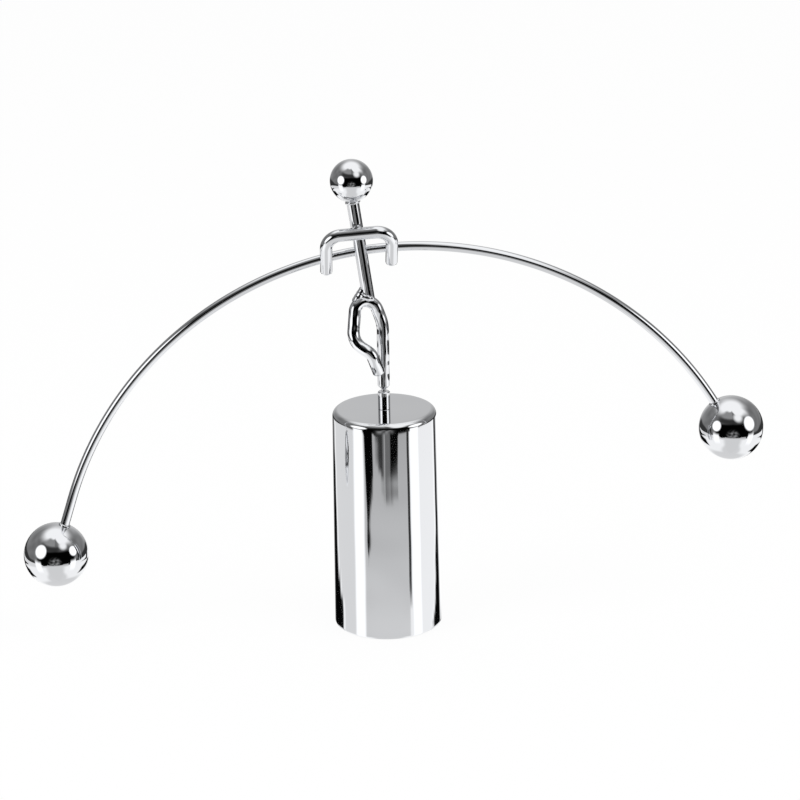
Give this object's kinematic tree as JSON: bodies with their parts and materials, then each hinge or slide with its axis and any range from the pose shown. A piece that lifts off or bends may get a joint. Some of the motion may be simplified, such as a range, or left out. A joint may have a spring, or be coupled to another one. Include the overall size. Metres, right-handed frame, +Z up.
{
  "type": "kinetic balance toy",
  "caption": "Chromed rod figure standing on one toe on the post of a round weighted base, balanced by a long arched wire with a ball at each end.",
  "frame": {"origin": "centre of the foot of the base, on the table", "axes": "+Z up along the post, +X along the balance wire towards the ball that stands higher at rest, -Y the front of the figure"},
  "size_m": [0.2473, 0.036, 0.1594],
  "materials": {
    "cup_chrome": "polished chrome plate on drawn steel",
    "ball_chrome": "polished chrome plate on a steel ball",
    "rod_chrome": "polished chrome plate on bent steel rod",
    "wire_chrome": "polished chrome plate on steel wire",
    "weld_chrome": "chrome plate over uneven weld metal",
    "post_steel": "bright turned steel",
    "zinc": "zinc plate, dull",
    "cement": "cast cement",
    "foam": "matt black closed-cell foam"
  },
  "bodies": {
    "base": {"base_cup": "cup_chrome", "base_ballast": "cement", "base_pad": "foam"},
    "post": {"support_post": "post_steel", "post_washer": "zinc", "post_nut": "zinc"},
    "pivot_ball": {"pivot_ball": "post_steel"},
    "figure": {"leg_rod": "rod_chrome", "hip_weld": "weld_chrome", "body_rod": "rod_chrome", "head_ball": "ball_chrome", "neck_weld": "weld_chrome", "arm_bracket": "rod_chrome", "chest_weld": "weld_chrome", "balance_wire": "wire_chrome", "back_weld": "weld_chrome", "left_hand_weld": "weld_chrome", "right_hand_weld": "weld_chrome", "left_ball": "ball_chrome", "right_ball": "ball_chrome", "left_ball_weld": "weld_chrome", "right_ball_weld": "weld_chrome"}
  },
  "joints": [
    {"name": "spin", "type": "hinge", "parent": "base", "child": "post", "pos_m": [0, 0, 0.0818], "axis": [0, 0, 1], "continuous": true},
    {"name": "rock", "type": "hinge", "parent": "post", "child": "pivot_ball", "pos_m": [0, 0, 0.0818], "axis": [0, 1, 0], "range_deg": [-9.6, 28.4]},
    {"name": "nod", "type": "hinge", "parent": "pivot_ball", "child": "figure", "pos_m": [0, 0, 0.0818], "axis": [1, 0, 0], "range_deg": [-20, 20]}
  ]
}
